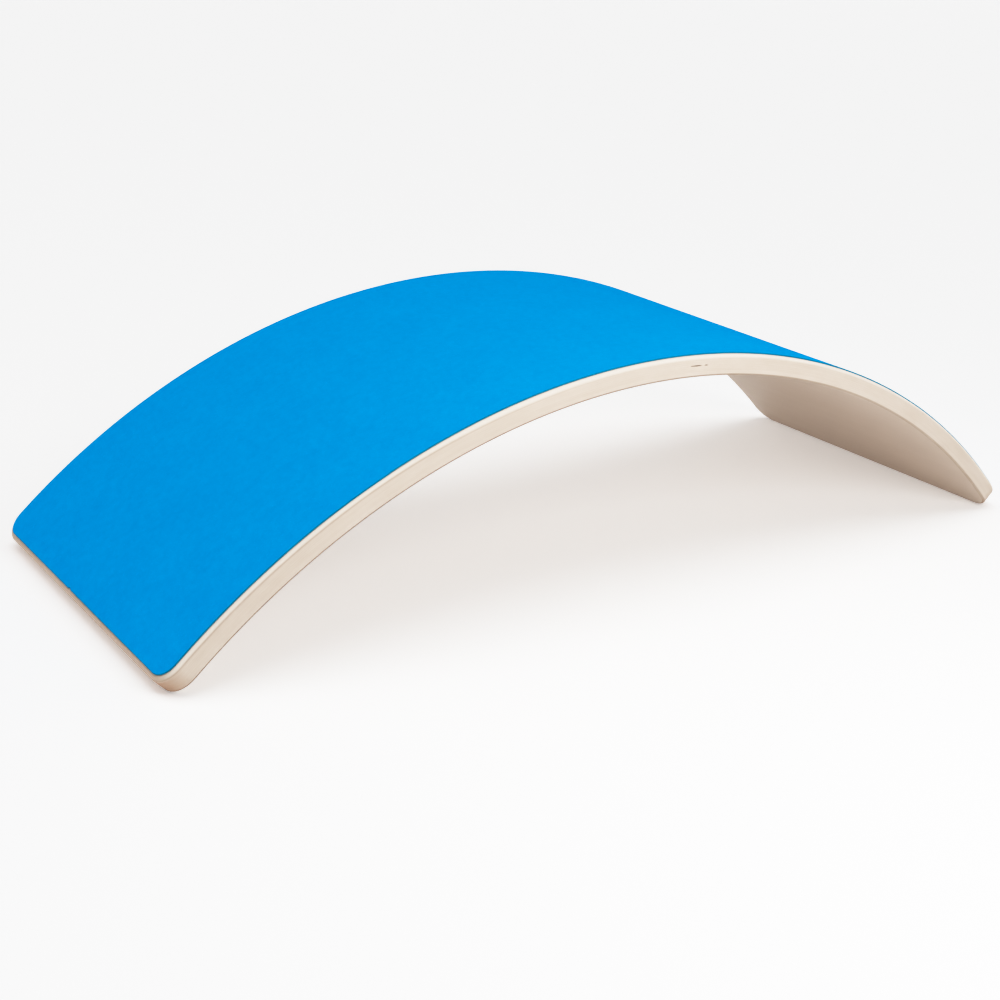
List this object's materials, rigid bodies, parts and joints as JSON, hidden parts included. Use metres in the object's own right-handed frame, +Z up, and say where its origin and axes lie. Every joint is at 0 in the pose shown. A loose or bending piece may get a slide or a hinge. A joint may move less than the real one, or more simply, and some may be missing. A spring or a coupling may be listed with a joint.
{
  "type": "balance board",
  "caption": "Curved rocker board of bent laminated wood with a felt sheet on its convex face, standing as a low arch.",
  "frame": {"origin": "on the floor under the middle of the board, which stands on its two ends with the felt side up", "axes": "+X along the board's length, +Y across its width, +Z up"},
  "size_m": [0.8166, 0.3, 0.185],
  "materials": {
    "face_veneer": "matte whitewashed lacquer",
    "core_veneer": "matte sanded edge, whitewashed lacquer",
    "adhesive": "clear transfer adhesive",
    "felt": "matte pressed wool felt"
  },
  "bodies": {
    "root": {"concave_face_veneer": "face_veneer", "core_ply_02": "core_veneer", "core_ply_03": "core_veneer", "core_ply_04": "core_veneer", "core_ply_05": "core_veneer", "core_ply_06": "core_veneer", "core_ply_07": "core_veneer", "core_ply_08": "core_veneer", "core_ply_09": "core_veneer", "core_ply_10": "core_veneer", "convex_face_veneer": "face_veneer", "felt_adhesive_film": "adhesive", "felt_cover": "felt"}
  },
  "joints": []
}
